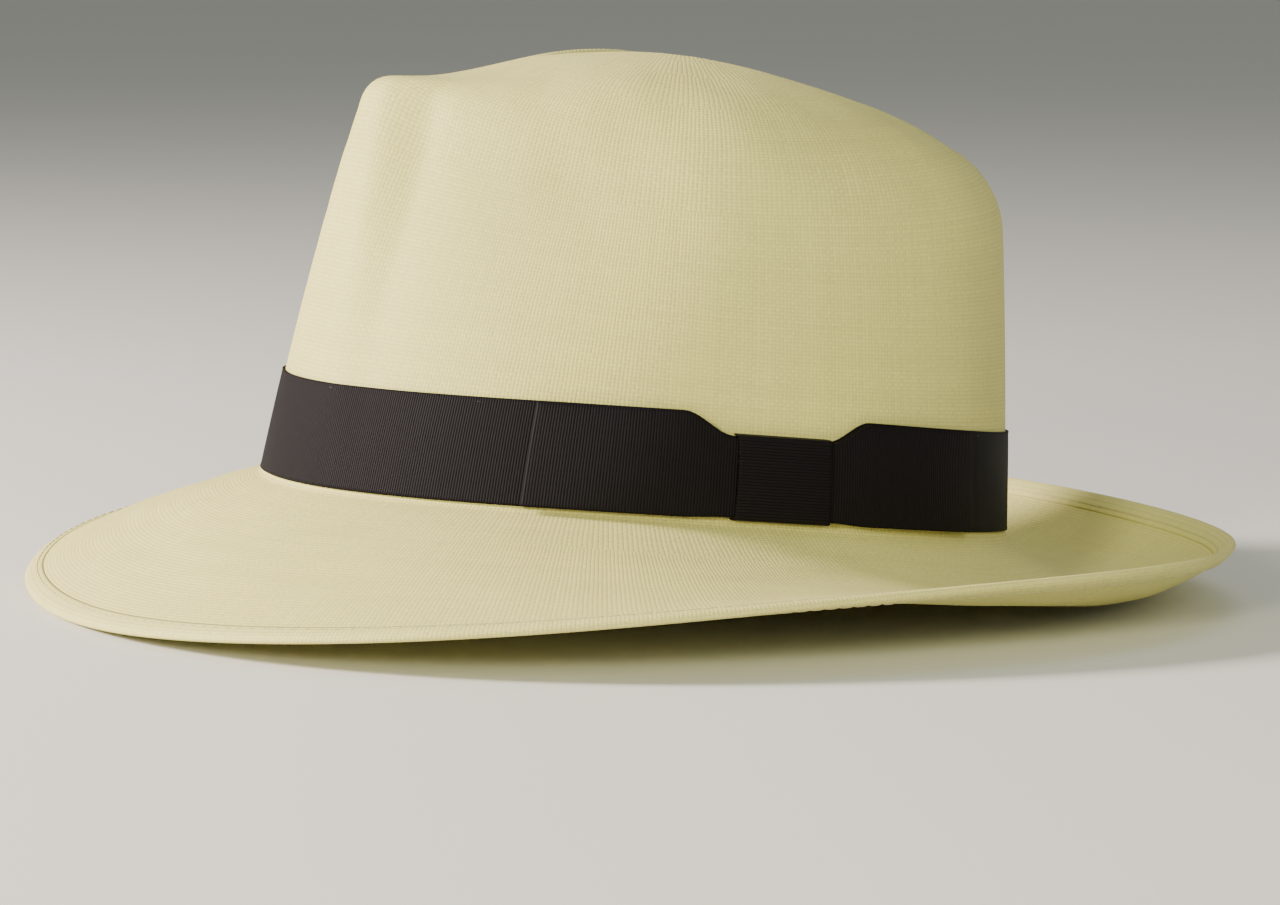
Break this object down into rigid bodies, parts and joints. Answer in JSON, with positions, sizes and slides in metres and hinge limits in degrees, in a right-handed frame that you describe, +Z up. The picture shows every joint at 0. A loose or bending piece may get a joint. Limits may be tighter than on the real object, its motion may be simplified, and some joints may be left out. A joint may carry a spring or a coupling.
{
  "type": "fedora hat",
  "caption": "Woven straw fedora with a teardrop crown, pinched front, snap brim turned up behind, and a black ribbon with a flat bow.",
  "frame": {"origin": "centre of the hat's box, on the level surface that the brim stands on", "axes": "+X the front of the hat, +Y the wearer's left, where the bow is, +Z up"},
  "size_m": [0.3203, 0.296, 0.1446],
  "materials": {
    "straw": "fine even weave of split palm straw, matt with a soft sheen",
    "straw_hem": "pressed turned edge of the same straw, a little lighter",
    "straw_thread": "cream cotton thread",
    "grosgrain": "black ribbed grosgrain, dull with a faint sheen along the ribs",
    "black_thread": "black thread",
    "sweat_leather": "smooth tan leather, slightly waxy",
    "reed_plastic": "plain extruded cane",
    "reed_tape": "woven cotton tape",
    "sweat_thread": "cream cotton thread",
    "seam_ribbon": "narrow black ribbon",
    "tag_paper": "plain white tag, blank"
  },
  "bodies": {
    "root": {"crown": "straw", "brim": "straw", "brim_hem": "straw_hem", "hem_thread": "straw_thread", "hatband_ribbon": "grosgrain", "hatband_lap": "grosgrain", "bow_front_wing": "grosgrain", "bow_rear_wing": "grosgrain", "bow_keeper": "grosgrain", "tack_stitches": "black_thread", "sweatband": "sweat_leather", "sweatband_reed": "reed_plastic", "reed_tape": "reed_tape", "sweatband_thread": "sweat_thread", "sweatband_seam_strip": "seam_ribbon", "sweatband_bow": "seam_ribbon", "size_tag": "tag_paper"}
  },
  "joints": []
}
